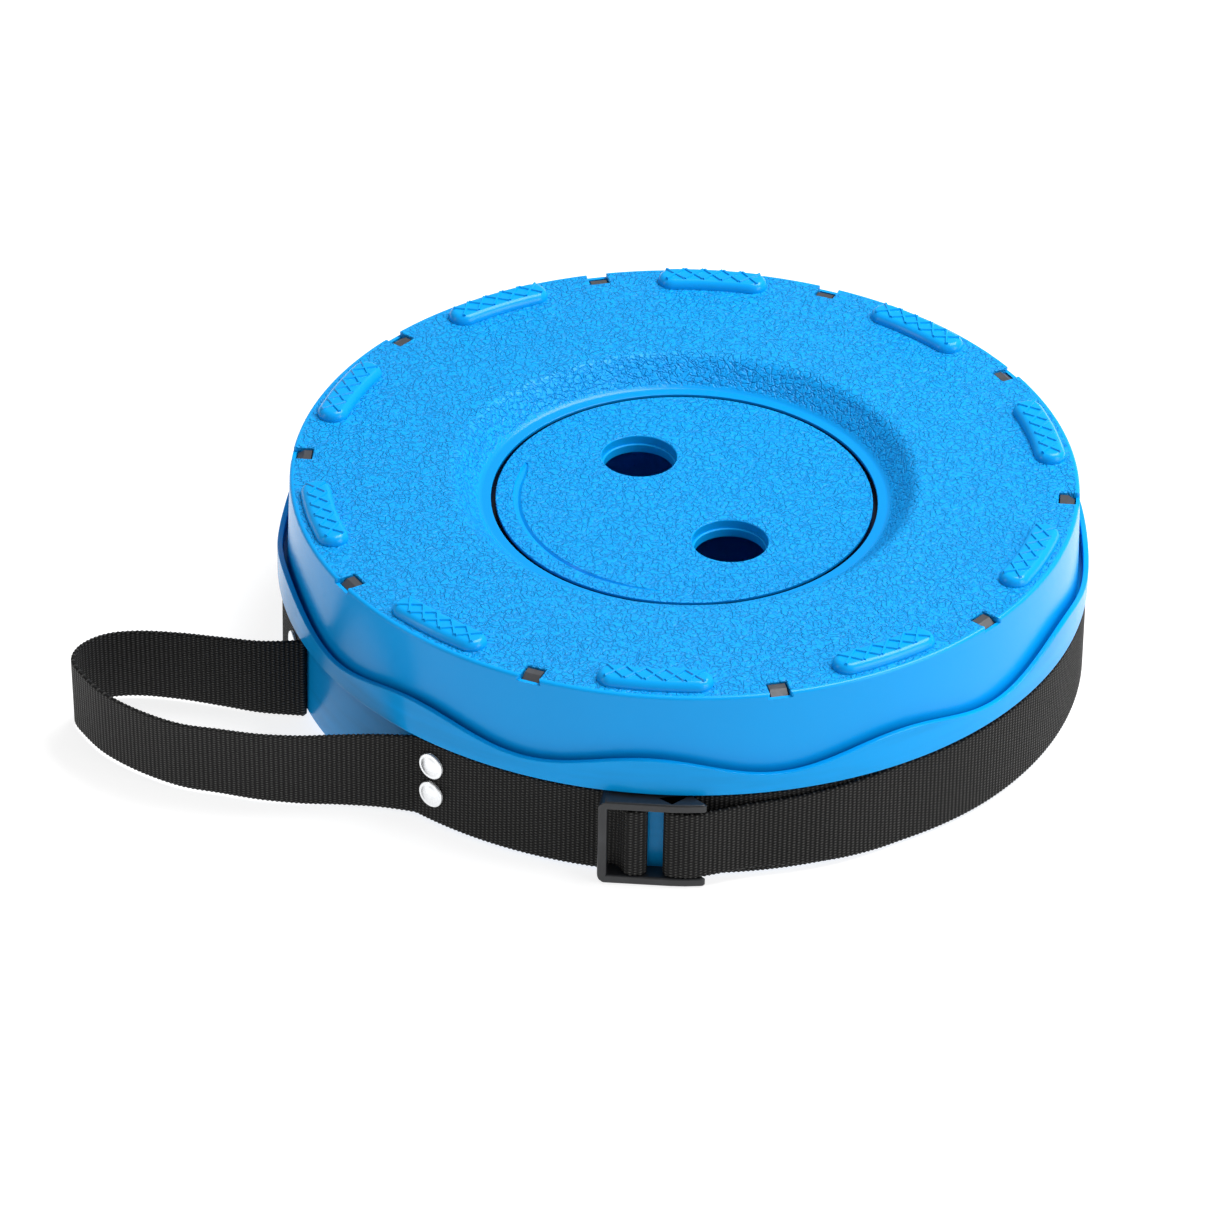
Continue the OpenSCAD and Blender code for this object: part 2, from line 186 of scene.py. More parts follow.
def bent(start, corner, end, steps):
    """Points of a curve that leaves start and reaches end in line with the corner."""
    shares = [k / steps for k in range(steps + 1)]
    return [tuple(a * (1 - t) ** 2 + 2 * b * t * (1 - t) + c * t * t for a, b, c in zip(start, corner, end))
            for t in shares]


def grid_faces(rows, cols, close_rows=False, close_cols=False):
    index = np.arange(rows * cols).reshape(rows, cols)
    if close_rows:
        index = np.vstack([index, index[:1]])
    if close_cols:
        index = np.hstack([index, index[:, :1]])
    quads = np.stack([index[:-1, :-1], index[1:, :-1], index[1:, 1:], index[:-1, 1:]], axis=-1)
    return quads.reshape(-1, 4).tolist()


def turned(points, bearing):
    """Points turned about the z axis."""
    c, s = cos(radians(bearing)), sin(radians(bearing))
    out = np.array(points, float)
    x, y = out[:, 0].copy(), out[:, 1].copy()
    out[:, 0] = c * x - s * y
    out[:, 1] = s * x + c * y
    return out


def joined(solids):
    """One solid, a pair of points and faces, from several."""
    points, faces, start = [], [], 0
    for some_points, some_faces in solids:
        points.append(np.asarray(some_points, float))
        faces += [[start + k for k in face] for face in some_faces]
        start += len(some_points)
    return np.vstack(points), faces


def round_rim(solid, first=WINDOW_DIR, count=COUNT):
    points, faces = solid
    return joined([(turned(points, first + k * 360 / count), faces) for k in range(count)])


def revolved(profile, steps=360, start=0, turn=360):
    """A closed profile of (radius, z) points turned about the z axis."""
    whole = turn == 360
    rows = steps if whole else steps + 1
    bearings = np.radians(start + turn * np.arange(rows) / steps)
    radius, z = np.array(profile, float).T
    cols = len(profile)
    points = np.stack([
        np.outer(np.cos(bearings), radius),
        np.outer(np.sin(bearings), radius),
        np.tile(z, (rows, 1)),
    ], axis=-1).reshape(-1, 3)
    faces = grid_faces(rows, cols, whole, True)
    if not whole:
        faces += [list(range(cols)), list(range((rows - 1) * cols, rows * cols))]
    return points, faces


def sector(r1, r2, z1, z2, start, turn, steps=12):
    return revolved([(r1, z1), (r2, z1), (r2, z2), (r1, z2)], steps, start, turn)


def loft(loops):
    """A closed solid through loops of points, with a flat face on each end."""
    loops = np.array(loops, float)
    rows, cols = loops.shape[:2]
    faces = grid_faces(rows, cols, False, True)
    faces += [list(range(cols)), list(range((rows - 1) * cols, rows * cols))]
    return loops.reshape(-1, 3), faces


def inset(outline, distance):
    """A counterclockwise outline moved inwards, corner by corner."""
    p = np.array(outline, float)
    before = p - np.roll(p, 1, axis=0)
    after = np.roll(p, -1, axis=0) - p
    n1 = np.stack([-before[:, 1], before[:, 0]], 1) / np.linalg.norm(before, axis=1)[:, None]
    n2 = np.stack([-after[:, 1], after[:, 0]], 1) / np.linalg.norm(after, axis=1)[:, None]
    both = n1 + n2
    return p + distance * 2 * both / (both * both).sum(1)[:, None]


def soft_prism(outline, z1, z2, edge=0.5, steps=4):
    """An upright prism with rounded edges. The outline runs counterclockwise."""
    low = []
    for k in range(steps + 1):
        a = radians(90 * k / steps)
        z = z1 + edge * (1 - cos(a))
        low.append([(x, y, z) for x, y in inset(outline, edge * (1 - sin(a)))])
    high = [[(x, y, z1 + z2 - z) for x, y, z in loop] for loop in low]
    return loft(low + high[::-1])


def rounded_box(x1, x2, y1, y2, corner=0.6, steps=4):
    """A rectangle with round corners, counterclockwise."""
    return (
        arc(x2 - corner, y1 + corner, corner, -90, 0, steps)
        + arc(x2 - corner, y2 - corner, corner, 0, 90, steps)
        + arc(x1 + corner, y2 - corner, corner, 90, 180, steps)
        + arc(x1 + corner, y1 + corner, corner, 180, 270, steps)
    )


def plain_object(name, solid):
    points, faces = solid
    mesh = bpy.data.meshes.new(name)
    mesh.from_pydata((np.asarray(points, float) * MM).tolist(), [], faces)
    made = bpy.data.objects.new(name, mesh)
    bpy.context.scene.collection.objects.link(made)
    clean(mesh)
    return made


def clean(mesh):
    """Merges points that coincide and turns every face outwards."""
    work = bmesh.new()
    work.from_mesh(mesh)
    bmesh.ops.remove_doubles(work, verts=work.verts, dist=0.001 * MM)
    bmesh.ops.recalc_face_normals(work, faces=work.faces)
    work.to_mesh(mesh)
    work.free()


def combine(target, solid, operation):
    """Adds a solid to an object, or cuts it away."""
    tool = plain_object("tool", solid)
    modifier = target.modifiers.new("combine", "BOOLEAN")
    modifier.object = tool
    modifier.operation = operation
    modifier.solver = "MANIFOLD"
    applied(target)
    bpy.data.objects.remove(tool)


def applied(target):
    """Bakes an object's modifiers into its mesh."""
    graph = bpy.context.evaluated_depsgraph_get()
    result = bpy.data.meshes.new_from_object(target.evaluated_get(graph))
    target.modifiers.clear()
    target.data = result


def finished(name, piece, material, body, nodes, sharp=32):
    """Names a piece, shades it and ties it to the frame."""
    piece.data.shade_smooth()
    piece.data.set_sharp_from_angle(angle=radians(sharp))
    weighted = piece.modifiers.new("weighted", "WEIGHTED_NORMAL")
    weighted.keep_sharp = True
    applied(piece)
    piece.name = name
    piece.data.name = name
    piece.data.materials.clear()
    piece.data.materials.append(material)
    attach(piece, body)
    if nodes:
        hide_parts(*nodes)
    return piece


# ---- Shader helpers ----

def new_material(name):
    """A material, its node tree and its main shader."""
    material = bpy.data.materials.new(name)
    material.use_nodes = True
    tree = material.node_tree
    return material, tree, tree.nodes["Principled BSDF"]


def add(tree, kind, sockets=None, **settings):
    """Adds a node. A socket's value is a number, a vector or another node's output."""
    made = tree.nodes.new(kind)
    for key, value in settings.items():
        setattr(made, key, value)
    for key, value in (sockets or {}).items():
        if isinstance(value, bpy.types.NodeSocket):
            tree.links.new(value, made.inputs[key])
        else:
            made.inputs[key].default_value = value
    return made


def calc(tree, operation, first, second=0.0, third=0.0):
    return add(tree, "ShaderNodeMath", {0: first, 1: second, 2: third}, operation=operation).outputs[0]


def ramp(tree, value, start, end, low=0.0, high=1.0):
    """Eases from low to high while value goes from start to end."""
    made = add(tree, "ShaderNodeMapRange", {
        "Value": value, "From Min": start, "From Max": end, "To Min": low, "To Max": high,
    }, interpolation_type="SMOOTHSTEP")
    return made.outputs["Result"]


def blend_colour(tree, factor, first, second):
    made = add(tree, "ShaderNodeMix", {0: factor, 6: first, 7: second}, data_type="RGBA")
    return made.outputs[2]


def noise(tree, place, scale, detail=2.0, roughness=0.5):
    return add(tree, "ShaderNodeTexNoise", {
        "Vector": place, "Scale": scale, "Detail": detail, "Roughness": roughness,
    })


def millimetres(tree):
    """The piece's own coordinates, in millimetres."""
    place = add(tree, "ShaderNodeTexCoord").outputs["Object"]
    return add(tree, "ShaderNodeVectorMath", {0: place, "Scale": 1 / MM}, operation="SCALE").outputs[0]


def drifted(tree, place, scale, reach):
    """Coordinates pushed about by noise, so that straight patterns wander."""
    push = add(tree, "ShaderNodeVectorMath", {
        0: noise(tree, place, scale, 2.0).outputs["Color"], 1: (0.5, 0.5, 0.5),
    }, operation="SUBTRACT").outputs[0]
    far = add(tree, "ShaderNodeVectorMath", {0: push, "Scale": reach}, operation="SCALE").outputs[0]
    return add(tree, "ShaderNodeVectorMath", {0: place, 1: far}, operation="ADD").outputs[0]


def grooves(tree, place, scale, width, share, seed):
    """Short branching grooves: 1 on the land between them and 0 along their middle."""
    shifted = add(tree, "ShaderNodeVectorMath", {
        0: place, 1: (seed, 2 * seed, 0),
    }, operation="ADD").outputs[0]
    cells = add(tree, "ShaderNodeTexVoronoi", {
        "Vector": drifted(tree, shifted, 0.5 * scale, 2.2 / scale), "Scale": scale,
    }, feature="DISTANCE_TO_EDGE")
    line = ramp(tree, cells.outputs["Distance"], 0.0, width)
    breaks = ramp(tree, noise(tree, shifted, 1.1 * scale, 1.0).outputs["Fac"], share, share + 0.09)
    return calc(tree, "MAXIMUM", line, breaks)


def leather_grain(tree, place):
    """The moulded leather grain: long grooves, finer ones between them and a pebbled land."""
    coarse = grooves(tree, place, 0.4, 0.15, 0.55, 0.0)
    fine = grooves(tree, place, 0.62, 0.16, 0.5, 40.0)
    pebbles = noise(tree, place, 0.8, 3.0).outputs["Fac"]
    lines = calc(tree, "ADD", calc(tree, "MULTIPLY", coarse, 0.6), calc(tree, "MULTIPLY", fine, 0.4))
    return lines, calc(tree, "ADD", lines, calc(tree, "MULTIPLY", pebbles, 0.3))


# ---- Materials ----

BLUE = (0.001, 0.33, 0.8, 1)
SHADE_BLUE = (0.001, 0.305, 0.76, 1)
# Painted shade colour, for the grain's grooves and for the ledge and slot by the lid.
PAINTED_SHADE_BLUE = (0.0, 0.15, 0.5, 1)
# Painted shade colour for the slot between the lid and the seat.
SLOT_SHADE_BLUE = (0.0, 0.006, 0.03, 1)


def grained_blue(name, top_only):
    """Blue plastic with leather grain. With top_only, the grain keeps to the seat's
    top and the dish's wall, and the rim, pads, ledge and skirt stay smooth."""
    material, tree, shader = new_material(name)
    place = millimetres(tree)
    lines, height = leather_grain(tree, place)
    split = add(tree, "ShaderNodeSeparateXYZ", {0: place})
    level = add(tree, "ShaderNodeCombineXYZ", {"X": split.outputs["X"], "Y": split.outputs["Y"]}).outputs[0]
    radius = add(tree, "ShaderNodeVectorMath", {0: level}, operation="LENGTH").outputs["Value"]
    # Painted shade: the slot's walls, from half a millimetre below the lid's top downwards, between the lid's
    # edge and the well, turn near black.
    slot_shade = calc(
        tree, "MULTIPLY", ramp(tree, split.outputs["Z"], LID_Z - 0.5, LID_Z - 1.3),
        calc(tree, "MULTIPLY", ramp(tree, radius, LID_R - 0.6, LID_R - 0.2),
             ramp(tree, radius, WELL_R + 0.1, WELL_R + 0.3, 1.0, 0.0)))
    if top_only:
        rim = ramp(tree, radius, SEAT_R - 1.7, SEAT_R - 1.0, 1.0, 0.0)
        ledge = ramp(tree, radius, DISH_R + 0.6, DISH_R + 2.2)
        pads = ramp(tree, split.outputs["Z"], TOP_Z + 0.05, TOP_Z + 0.25, 1.0, 0.0)
        area = calc(tree, "MULTIPLY", calc(tree, "MULTIPLY", rim, ledge), pads)
    else:
        area = ramp(tree, split.outputs["Z"], LID_Z - 0.2, LID_Z - 0.05)
    # Painted shade: the grain's grooves are darkened in colour towards a deeper blue, where shade falls in
    # them; the grooves' relief itself is the bump below.
    groove_shade = calc(tree, "MULTIPLY", calc(tree, "SUBTRACT", 1.0, lines), area)
    tone = ramp(tree, noise(tree, place, 0.03, 3.0).outputs["Fac"], 0.3, 0.7, 0.0, 0.25)
    base = blend_colour(tree, tone, BLUE, SHADE_BLUE)
    base = blend_colour(tree, calc(tree, "MULTIPLY", groove_shade, 0.6), base, PAINTED_SHADE_BLUE)
    if top_only:
        # Painted shade: everything inside the foot of the dish's wall, including the ledge and the slot by
        # the lid, is blended a little towards the deeper blue.
        ledge_shade = ramp(tree, radius, DISH_R + 0.4, DISH_R + 1.6, 0.3, 0.0)
        base = blend_colour(tree, ledge_shade, base, PAINTED_SHADE_BLUE)
    # The painted shade in the slot goes on last.
    base = blend_colour(tree, slot_shade, base, SLOT_SHADE_BLUE)
    tree.links.new(base, shader.inputs["Base Color"])
    rough = calc(tree, "MULTIPLY_ADD", area, 0.18, 0.24)
    tree.links.new(rough, shader.inputs["Roughness"])
    shader.inputs["Specular IOR Level"].default_value = 0.2
    bump = add(tree, "ShaderNodeBump", {
        "Strength": area, "Distance": 0.42 * MM, "Height": height,
    })
    tree.links.new(bump.outputs["Normal"], shader.inputs["Normal"])
    return material


def gloss_blue(name, colour=BLUE, roughness=0.2):
    """Smooth glossy blue plastic with faint flow marks and handling haze."""
    material, tree, shader = new_material(name)
    place = millimetres(tree)
    flow = add(tree, "ShaderNodeVectorMath", {
        0: place, 1: (0.02, 0.02, 0.2),
    }, operation="MULTIPLY").outputs[0]
    streaks = noise(tree, flow, 1.0, 4.0).outputs["Fac"]
    darker = tuple(0.88 * c for c in colour[:3]) + (1,)
    streaked = blend_colour(tree, ramp(tree, streaks, 0.35, 0.7), colour, darker)
    tree.links.new(streaked, shader.inputs["Base Color"])
    haze = noise(tree, place, 0.05, 4.0).outputs["Fac"]
    tree.links.new(ramp(tree, haze, 0.3, 0.75, roughness, roughness + 0.1), shader.inputs["Roughness"])
    shader.inputs["Specular IOR Level"].default_value = 0.15
    bump = add(tree, "ShaderNodeBump", {
        "Strength": 0.25, "Distance": 0.05 * MM, "Height": noise(tree, place, 0.12, 2.0).outputs["Fac"],
    })
    tree.links.new(bump.outputs["Normal"], shader.inputs["Normal"])
    return material


def satin_black(name, colour, roughness, speckle=1.6, depth=0.04):
    """Dark moulded plastic with a fine spark-eroded texture and rubbed lighter patches."""
    material, tree, shader = new_material(name)
    place = millimetres(tree)
    worn = tuple(min(1.0, 1.9 * c) for c in colour[:3]) + (1,)
    patches = noise(tree, place, 0.09, 5.0, 0.65).outputs["Fac"]
    rubbed = blend_colour(tree, ramp(tree, patches, 0.45, 0.8), colour, worn)
    tree.links.new(rubbed, shader.inputs["Base Color"])
    polish = ramp(tree, patches, 0.3, 0.8, roughness + 0.08, roughness - 0.08)
    tree.links.new(polish, shader.inputs["Roughness"])
    bump = add(tree, "ShaderNodeBump", {
        "Strength": 0.5, "Distance": depth * MM, "Height": noise(tree, place, speckle, 3.0).outputs["Fac"],
    })
    tree.links.new(bump.outputs["Normal"], shader.inputs["Normal"])
    return material


def webbing_black(name):
    """Coarse black webbing: glossy yarn dots in ribs across the strap, read from the
    distances along and across it that the mesh carries. Each dot's top gets a painted highlight."""
    material, tree, shader = new_material(name)
    weave = add(tree, "ShaderNodeAttribute", attribute_name="weave").outputs["Vector"]
    split = add(tree, "ShaderNodeSeparateXYZ", {0: drifted(tree, weave, 0.6, 0.25)})
    along, across = split.outputs["X"], split.outputs["Y"]
    rib = calc(tree, "COSINE", calc(tree, "MULTIPLY", along, 2 * pi / RIB_PITCH))
    rib = calc(tree, "MULTIPLY_ADD", rib, 0.5, 0.5)
    row = calc(tree, "ROUND", calc(tree, "DIVIDE", along, RIB_PITCH))
    shift = calc(tree, "MULTIPLY", row, pi)
    yarn = calc(tree, "COSINE", calc(tree, "ADD", calc(tree, "MULTIPLY", across, 2 * pi / YARN_PITCH), shift))
    yarn = calc(tree, "MULTIPLY_ADD", yarn, 0.5, 0.5)
    dots = calc(tree, "MULTIPLY", calc(tree, "POWER", rib, 0.7), calc(tree, "POWER", yarn, 0.6))
    fibres = add(tree, "ShaderNodeVectorMath", {
        0: weave, 1: (9.0, 2.0, 1.0),
    }, operation="MULTIPLY").outputs[0]
    fuzz = noise(tree, fibres, 1.0, 3.0, 0.6).outputs["Fac"]
    # Painted highlight: the tops of the yarn dots are lighter in colour.
    yarn_highlight = calc(tree, "MULTIPLY", calc(tree, "POWER", dots, 3.0), ramp(tree, fuzz, 0.3, 0.7, 0.3, 1.0))
    colour = blend_colour(tree, yarn_highlight, (0.0015, 0.0015, 0.0015, 1), (0.085, 0.083, 0.078, 1))
    tree.links.new(colour, shader.inputs["Base Color"])
    tree.links.new(ramp(tree, dots, 0.0, 1.0, 0.75, 0.42), shader.inputs["Roughness"])
    shader.inputs["Specular IOR Level"].default_value = 0.25
    height = calc(tree, "MULTIPLY_ADD", fuzz, 0.12, dots)
    bump = add(tree, "ShaderNodeBump", {"Strength": 1.0, "Distance": 0.32 * MM, "Height": height})
    tree.links.new(bump.outputs["Normal"], shader.inputs["Normal"])
    return material


def nickel(name):
    """Bright plated metal with faint brushing."""
    material, tree, shader = new_material(name)
    place = millimetres(tree)
    brush = noise(tree, place, 2.5, 4.0).outputs["Fac"]
    tree.links.new(
        blend_colour(tree, ramp(tree, brush, 0.3, 0.7), (0.86, 0.88, 0.9, 1), (0.97, 0.98, 0.99, 1)),
        shader.inputs["Base Color"])
    tree.links.new(ramp(tree, brush, 0.3, 0.7, 0.25, 0.38), shader.inputs["Roughness"])
    shader.inputs["Metallic"].default_value = 1.0
    bump = add(tree, "ShaderNodeBump", {"Strength": 0.3, "Distance": 0.03 * MM, "Height": brush})
    tree.links.new(bump.outputs["Normal"], shader.inputs["Normal"])
    return material


SEAT_BLUE = grained_blue("seat_blue", True)
LID_BLUE = grained_blue("lid_blue", False)
CUP_BLUE = gloss_blue("cup_blue", roughness=0.16)
PLATE_BLUE = gloss_blue("plate_blue", roughness=0.3)
TUBE_BLUE = gloss_blue("tube_blue", roughness=0.35)
RING_BLACK = satin_black("ring_black", (0.017, 0.017, 0.019, 1), 0.42)
HOOK_BLACK = satin_black("hook_black", (0.05, 0.052, 0.058, 1), 0.38)
BUCKLE_BLACK = satin_black("buckle_black", (0.014, 0.015, 0.017, 1), 0.36)
FOOT_RUBBER = satin_black("foot_rubber", (0.035, 0.035, 0.036, 1), 0.75, 2.2, 0.1)
WEBBING = webbing_black("webbing")
NICKEL = nickel("nickel")


# ---- Seat ----

def seat_profile():
    skirt_in = SKIRT_R - SKIRT_T
    edge = 0.25
    lip = 0.6
    crest_r = SLOPE_R + DISH_DEPTH
    foot = bent((SLOPE_R - 0.9, LID_Z), (SLOPE_R, LID_Z), (SLOPE_R + 1.0, LID_Z + 1.0), 6)
    crest = bent((crest_r - 1.8, TOP_Z - 1.8), (crest_r, TOP_Z), (FLAT_R, TOP_Z), 14)
    return (
        [(SHELF_IN, SHELF_Z), (SHELF_IN, SHELF_TOP), (WELL_R, SHELF_TOP), (WELL_R, LID_Z - edge)]
        + arc(WELL_R + edge, LID_Z - edge, edge, 180, 90, 5)
        + [(WELL_R + 0.6, LID_Z)] + foot + crest
        + [(FLAT_R + k, TOP_Z) for k in (0.6, 10, 22, 36)]
        + [(SEAT_R - RIM_ROUND - 0.5, TOP_Z)]
        + arc(SEAT_R - RIM_ROUND, TOP_Z - RIM_ROUND, RIM_ROUND, 90, 0, 7)
        + [(SEAT_R + 0.02, TOP_Z - RIM_ROUND - 0.8), (SKIRT_R - 0.04, SKIRT_Z + 1.2)]
        + arc(SKIRT_R - lip, SKIRT_Z + lip, lip, 0, -90, 4)
        + [(skirt_in, SKIRT_Z), (skirt_in - SKIRT_FLARE, UNDER_Z)]
        + [(crest_r + 1.1, UNDER_Z), (SLOPE_R + 1.1, LID_Z - SEAT_T)]
        + [(WELL_R + WELL_WALL, LID_Z - SEAT_T), (WELL_R + WELL_WALL, SHELF_Z)]
    )


def pad():
    """A rounded bar along the rim that rises out of the seat, without its crosses."""
    half = PAD_W / 2
    swing = degrees((PAD_L - PAD_W) / 2 / PAD_R)
    steps = 12

    def outline(width):
        loop = []
        for end, first in ((1, 0), (-1, 180)):
            centre = polar(PAD_R, end * swing)
            loop += arc(centre[0], centre[1], width, first + end * swing, first + 180 + end * swing, steps)
            side = -width if end == 1 else width
            loop += [polar(PAD_R + side, end * swing * (1 - k / 6)) for k in range(1, 12)]
        return loop

    loops = [[(x, y, TOP_Z - 1.2) for x, y in outline(half)]]
    for k in range(13):
        a = radians(90 * k / 12)
        width = half - PAD_EDGE * (1 - cos(a))
        loops.append([(x, y, TOP_Z + PAD_H * sin(a)) for x, y in outline(width)])
    return loft(loops)


def cross_bar(bearing, lean):
    """One thin bar of a cross on a pad's top, with a rounded back."""
    centre = Vector((PAD_R, 0))
    way = Vector((CROSS_HALF, lean * CROSS_HALF))
    side = Vector((-way.y, way.x)).normalized()
    top = TOP_Z + PAD_H
    loops = []
    for end in (-1, 1):
        spot = centre + end * way
        loops.append([
            (spot.x + u * side.x, spot.y + u * side.y, z) for u, z in (
                (-0.55, top - 1.6), (-0.5, top + 0.1), (-0.28, top + 0.5), (0.28, top + 0.5),
                (0.5, top + 0.1), (0.55, top - 1.6))
        ])
    points, faces = loft(loops)
    return turned(points, bearing), faces


def crosses(lean):
    pitch = degrees(CROSS_PITCH / PAD_R)
    middle = (CROSSES - 1) / 2
    return joined([cross_bar((k - middle) * pitch, lean) for k in range(CROSSES)])


def window_pocket():
    """The square hole behind the rim, with a small chamfer at the top."""
    out = SEAT_R - LIP_T
    back = SEAT_R - WINDOW_L
    half = WINDOW_W / 2
    loops = []
    for z, grow in ((UNDER_Z - 2.1, 0.0), (TOP_Z - 0.3, 0.0), (TOP_Z + 0.7, 1.0)):
        shape = rounded_box(back, out, -half, half, 0.5, 3)
        loops.append([(x, y, z) for x, y in inset(shape, -grow)])
    return loft(loops)


def window_notch():
    """The dip in the rim in front of a hook, flared where it meets the skirt."""
    half = WINDOW_W / 2
    floor = TOP_Z - LIP_DROP
    side = [(SEAT_R - 2 * LIP_T, half), (SEAT_R - LIP_T, half), (SEAT_R - 0.7, half + 0.12),
            (SEAT_R - 0.25, half + 0.5), (SEAT_R + 0.1, half + 1.1), (SEAT_R + 3, half + 7)]
    outline = [(x, -y) for x, y in side] + side[::-1]
    return loft([[(x, y, z) for x, y in outline] for z in (floor, TOP_Z + 3)])


def seat_rib():
    start = FLAT_R
    end = CUP_IN - 4.9
    outline = [(start, -RIB_T / 2), (end, -RIB_T / 2), (end, RIB_T / 2), (start, RIB_T / 2)]
    return loft([[(x, y, z) for x, y in outline] for z in (SHELF_Z, UNDER_Z + 0.5)])


def tab_notches():
    wide = TAB_DEG + 2
    start = UNLOCK - wide / 2
    return joined([
        sector(SHELF_IN - 1, WELL_R - 0.3, SHELF_Z - 1, SHELF_TOP + 1, start + k * 360 / TABS, wide)
        for k in range(TABS)])


def lid_stops():
    reach = TAB_DEG / 2 + 1.5
    starts = (-reach - 3, UNLOCK + reach)
    return joined([
        sector(WELL_R - 3.5, WELL_R, SHELF_Z - 2.2, SHELF_Z + 1.1, a + k * 360 / TABS, 3, 3)
        for a in starts for k in range(TABS)])


def make_seat():
    piece = plain_object("seat", revolved(seat_profile(), 360))
    half_step = 180 / COUNT
    for solid in (
        round_rim(pad(), WINDOW_DIR + half_step),
        round_rim(crosses(1), WINDOW_DIR + half_step),
        round_rim(crosses(-1), WINDOW_DIR + half_step),
        round_rim(seat_rib(), WINDOW_DIR + half_step),
        lid_stops(),
    ):
        combine(piece, solid, "UNION")
    for solid in (round_rim(window_pocket()), round_rim(window_notch()), tab_notches()):
        combine(piece, solid, "DIFFERENCE")
    return finished("seat_shell", piece, SEAT_BLUE, "seat", ["seat_cap"])


# ---- Lid ----

def finger_cutter(radius, top, edge):
    """Cuts both finger holes, with a rounded mouth."""
    profile = (
        [(0.0, 0.0), (radius, 0.0)]
        + [(radius + edge * (1 - cos(radians(a))), top - edge * (1 - sin(radians(a))))
           for a in range(0, 91, 15)]
        + [(radius + edge, top + 5), (0.0, top + 5)]
    )
    points, faces = revolved(profile, 96)
    cutters = []
    for side in (0, 180):
        x, y = polar(FINGER_AT, FINGER_DIR + side)
        cutters.append((points + np.array([x, y, 0.0]), faces))
    return joined(cutters)


def groove_cutter():
    """The crescent groove: starts wide and round, and runs out to a point."""
    depth = 0.85
    steps = 64
    loops = []
    for k in range(steps + 1):
        t = k / steps
        width = GROOVE_W * sqrt(min(1.0, 14 * t + 0.02)) * (1 - t) ** 0.8 + 0.12
        deep = depth * min(1.0, width / 0.9)
        bearing = GROOVE_DIR + GROOVE_SPAN * t
        section = [(GROOVE_R + 0.35, 2), (GROOVE_R + 0.35, 0.01), (GROOVE_R - 0.1, -deep),
                   (GROOVE_R - 0.1 - 0.6 * width, -deep), (GROOVE_R - width - 0.25, 0.01),
                   (GROOVE_R - width - 0.25, 2)]
        loops.append([(*polar(r, bearing), LID_Z + z) for r, z in section])
    return loft(loops)


def make_lid():
    edge = 0.25
    profile = (
        [(0.0, LID_UNDER), (LID_R - 0.3, LID_UNDER), (LID_R, LID_UNDER + 0.3)]
        + arc(LID_R - edge, LID_Z - edge, edge, 0, 90, 5)
        + [(LID_R - 1.2, LID_Z), (0.0, LID_Z)]
    )
    piece = plain_object("lid", revolved(profile, 240))
    combine(piece, finger_cutter(FINGER_R, LID_Z, 0.5), "DIFFERENCE")
    combine(piece, groove_cutter(), "DIFFERENCE")
    return finished("lid_disc", piece, LID_BLUE, "lid", ["centre_lid"])


def make_backing_plate():
    top = BACK_HIGH[2]
    low = top - 2.8
    radius = SHELF_IN - 0.3
    tab_top = SHELF_Z - 0.3
    tab_low = BACK_LOW[2]
    profile = [(0.0, low), (radius - 0.4, low), (radius, low + 0.4), (radius, top), (0.0, top)]
    piece = plain_object("plate", revolved(profile, 180))
    combine(piece, finger_cutter(FINGER_BACK_R, top, 0.4), "DIFFERENCE")
    combine(piece, sector(radius - 6, radius - 1, tab_low, low + 1, 0, 360, 120), "UNION")
    tabs = joined([
        sector(radius - 3, WELL_R - 0.6, tab_low, tab_top, k * 360 / TABS - TAB_DEG / 2, TAB_DEG)
        for k in range(TABS)])
    combine(piece, tabs, "UNION")
    return finished("lid_back", piece, PLATE_BLUE, "lid", ["lid_backing_plate"])


# ---- Cup ----

def make_cup():
    """The cup: its band's upper edge runs in ten waves, high under the pads."""
    rows = 720
    low_edge = 0.35
    corner = 1.5
    band_in = BAND_R - BAND_T
    outer = (
        [(0.0, CUP_Z)] + arc(CUP_R - corner, CUP_Z + corner, corner, -90, 0, 8)
        + [(CUP_R, BAND_Z - 0.35), (CUP_R + 0.3, BAND_Z)]
        + arc(BAND_R - 0.5, BAND_Z + 0.5, 0.5, -90, 0, 4)
    )
    lip = arc(BAND_R - low_edge, -low_edge, low_edge, 0, 90, 4) + arc(
        band_in + low_edge, -low_edge, low_edge, 90, 180, 4)
    inner = [(band_in, BAND_Z + 1.9), (CUP_IN, BAND_Z + 1.6), (CUP_IN, FLOOR_Z + 0.8),
             (CUP_IN - 0.8, FLOOR_Z), (0.0, FLOOR_Z)]
    cols = len(outer) + len(lip) + len(inner)
    points = []
    for k in range(rows):
        bearing = 360 * k / rows
        pad_dir = WINDOW_DIR + 180 / COUNT
        rim_z = CREST_Z - WAVE / 2 + WAVE / 2 * cos(radians(COUNT * (bearing - pad_dir)))
        section = outer + [(r, rim_z + z) for r, z in lip] + inner
        points += [(*polar(r, bearing), z) for r, z in section]
    piece = plain_object("cup", (np.array(points), grid_faces(rows, cols, True, True)))
    combine(piece, sector(SPIGOT_R, SPIGOT_R + 2.4, FLOOR_Z - 1.2, FLOOR_Z + 8, 0, 360, 180), "UNION")
    return finished("cup_shell", piece, CUP_BLUE, "base", ["base_cup"])


# ---- Strap ----

def smooth_way(knots, steps):
    """Points along a smooth curve through the knots."""
    p = np.array(knots, float)
    way = []
    for i in range(len(p) - 1):
        a, b, c, d = p[max(i - 1, 0)], p[i], p[i + 1], p[min(i + 2, len(p) - 1)]
        for k in range(steps):
            t = k / steps
            way.append(0.5 * (2 * b + (c - a) * t + (2 * a - 5 * b + 4 * c - d) * t**2
                              + (3 * b - a - 3 * c + d) * t**3))
    way.append(p[-1])
    return [tuple(q) for q in way]


